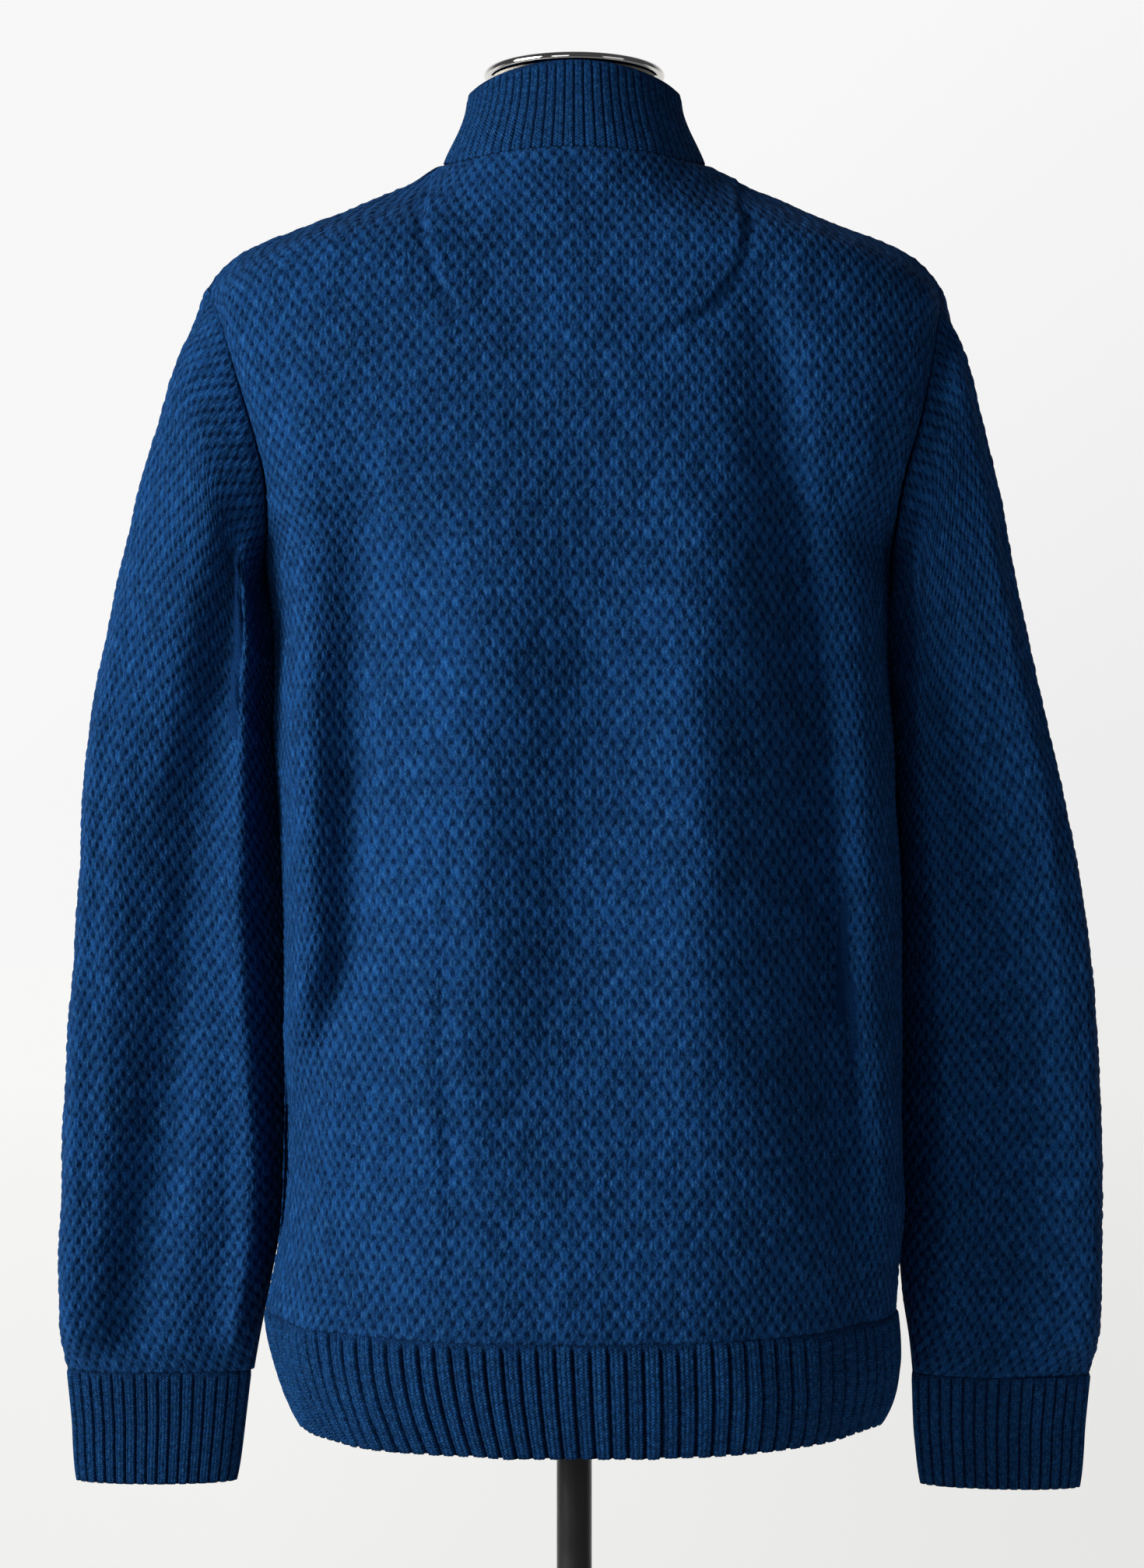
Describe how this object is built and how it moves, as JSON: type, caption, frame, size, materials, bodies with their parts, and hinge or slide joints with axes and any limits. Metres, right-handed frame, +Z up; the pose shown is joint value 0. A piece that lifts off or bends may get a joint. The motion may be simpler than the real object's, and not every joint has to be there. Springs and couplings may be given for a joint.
{
  "type": "knitted cardigan on a dress form",
  "caption": "Chunky seed-stitch cardigan with ribbed stand collar, cuffs and hem and a front zip, on a limbless dress form with a chromed neck cap, pole and round base",
  "frame": {"origin": "on the floor, at the middle of the base's underside, on the axis of the pole", "axes": "+Z up; the cardigan's front faces -Y and its back +Y; +X is the wearer's left"},
  "size_m": [0.6043, 0.34, 1.467],
  "materials": {
    "knit": "deep blue wool-blend seed stitch, matt and slightly fuzzy",
    "rib": "deep blue two-by-one ribbing in the same yarn",
    "tape": "navy woven tape",
    "zip_metal": "dark nickel",
    "form_cloth": "pale cotton jersey, smooth",
    "chromed_metal": "polished chrome",
    "black_metal": "black satin powder coat"
  },
  "bodies": {
    "garment": {"back": "knit", "front_left": "knit", "front_right": "knit", "sleeve_left": "knit", "sleeve_right": "knit", "neck_facing": "knit", "collar": "rib", "cuff_left": "rib", "cuff_right": "rib", "hem_back": "rib", "hem_front_left": "rib", "hem_front_right": "rib", "zip_tape_left": "tape", "zip_tape_right": "tape", "zip_slider": "zip_metal", "dress_form": "form_cloth", "neck_cap": "chromed_metal", "pole": "black_metal", "base": "black_metal"},
    "pull": {"zip_pull": "zip_metal"}
  },
  "joints": [
    {"name": "zip_pull_hinge", "type": "hinge", "parent": "garment", "child": "pull", "pos_m": [0, -0.07108, 1.37994], "axis": [-1, 0, 0], "range_deg": [0, 170]}
  ]
}
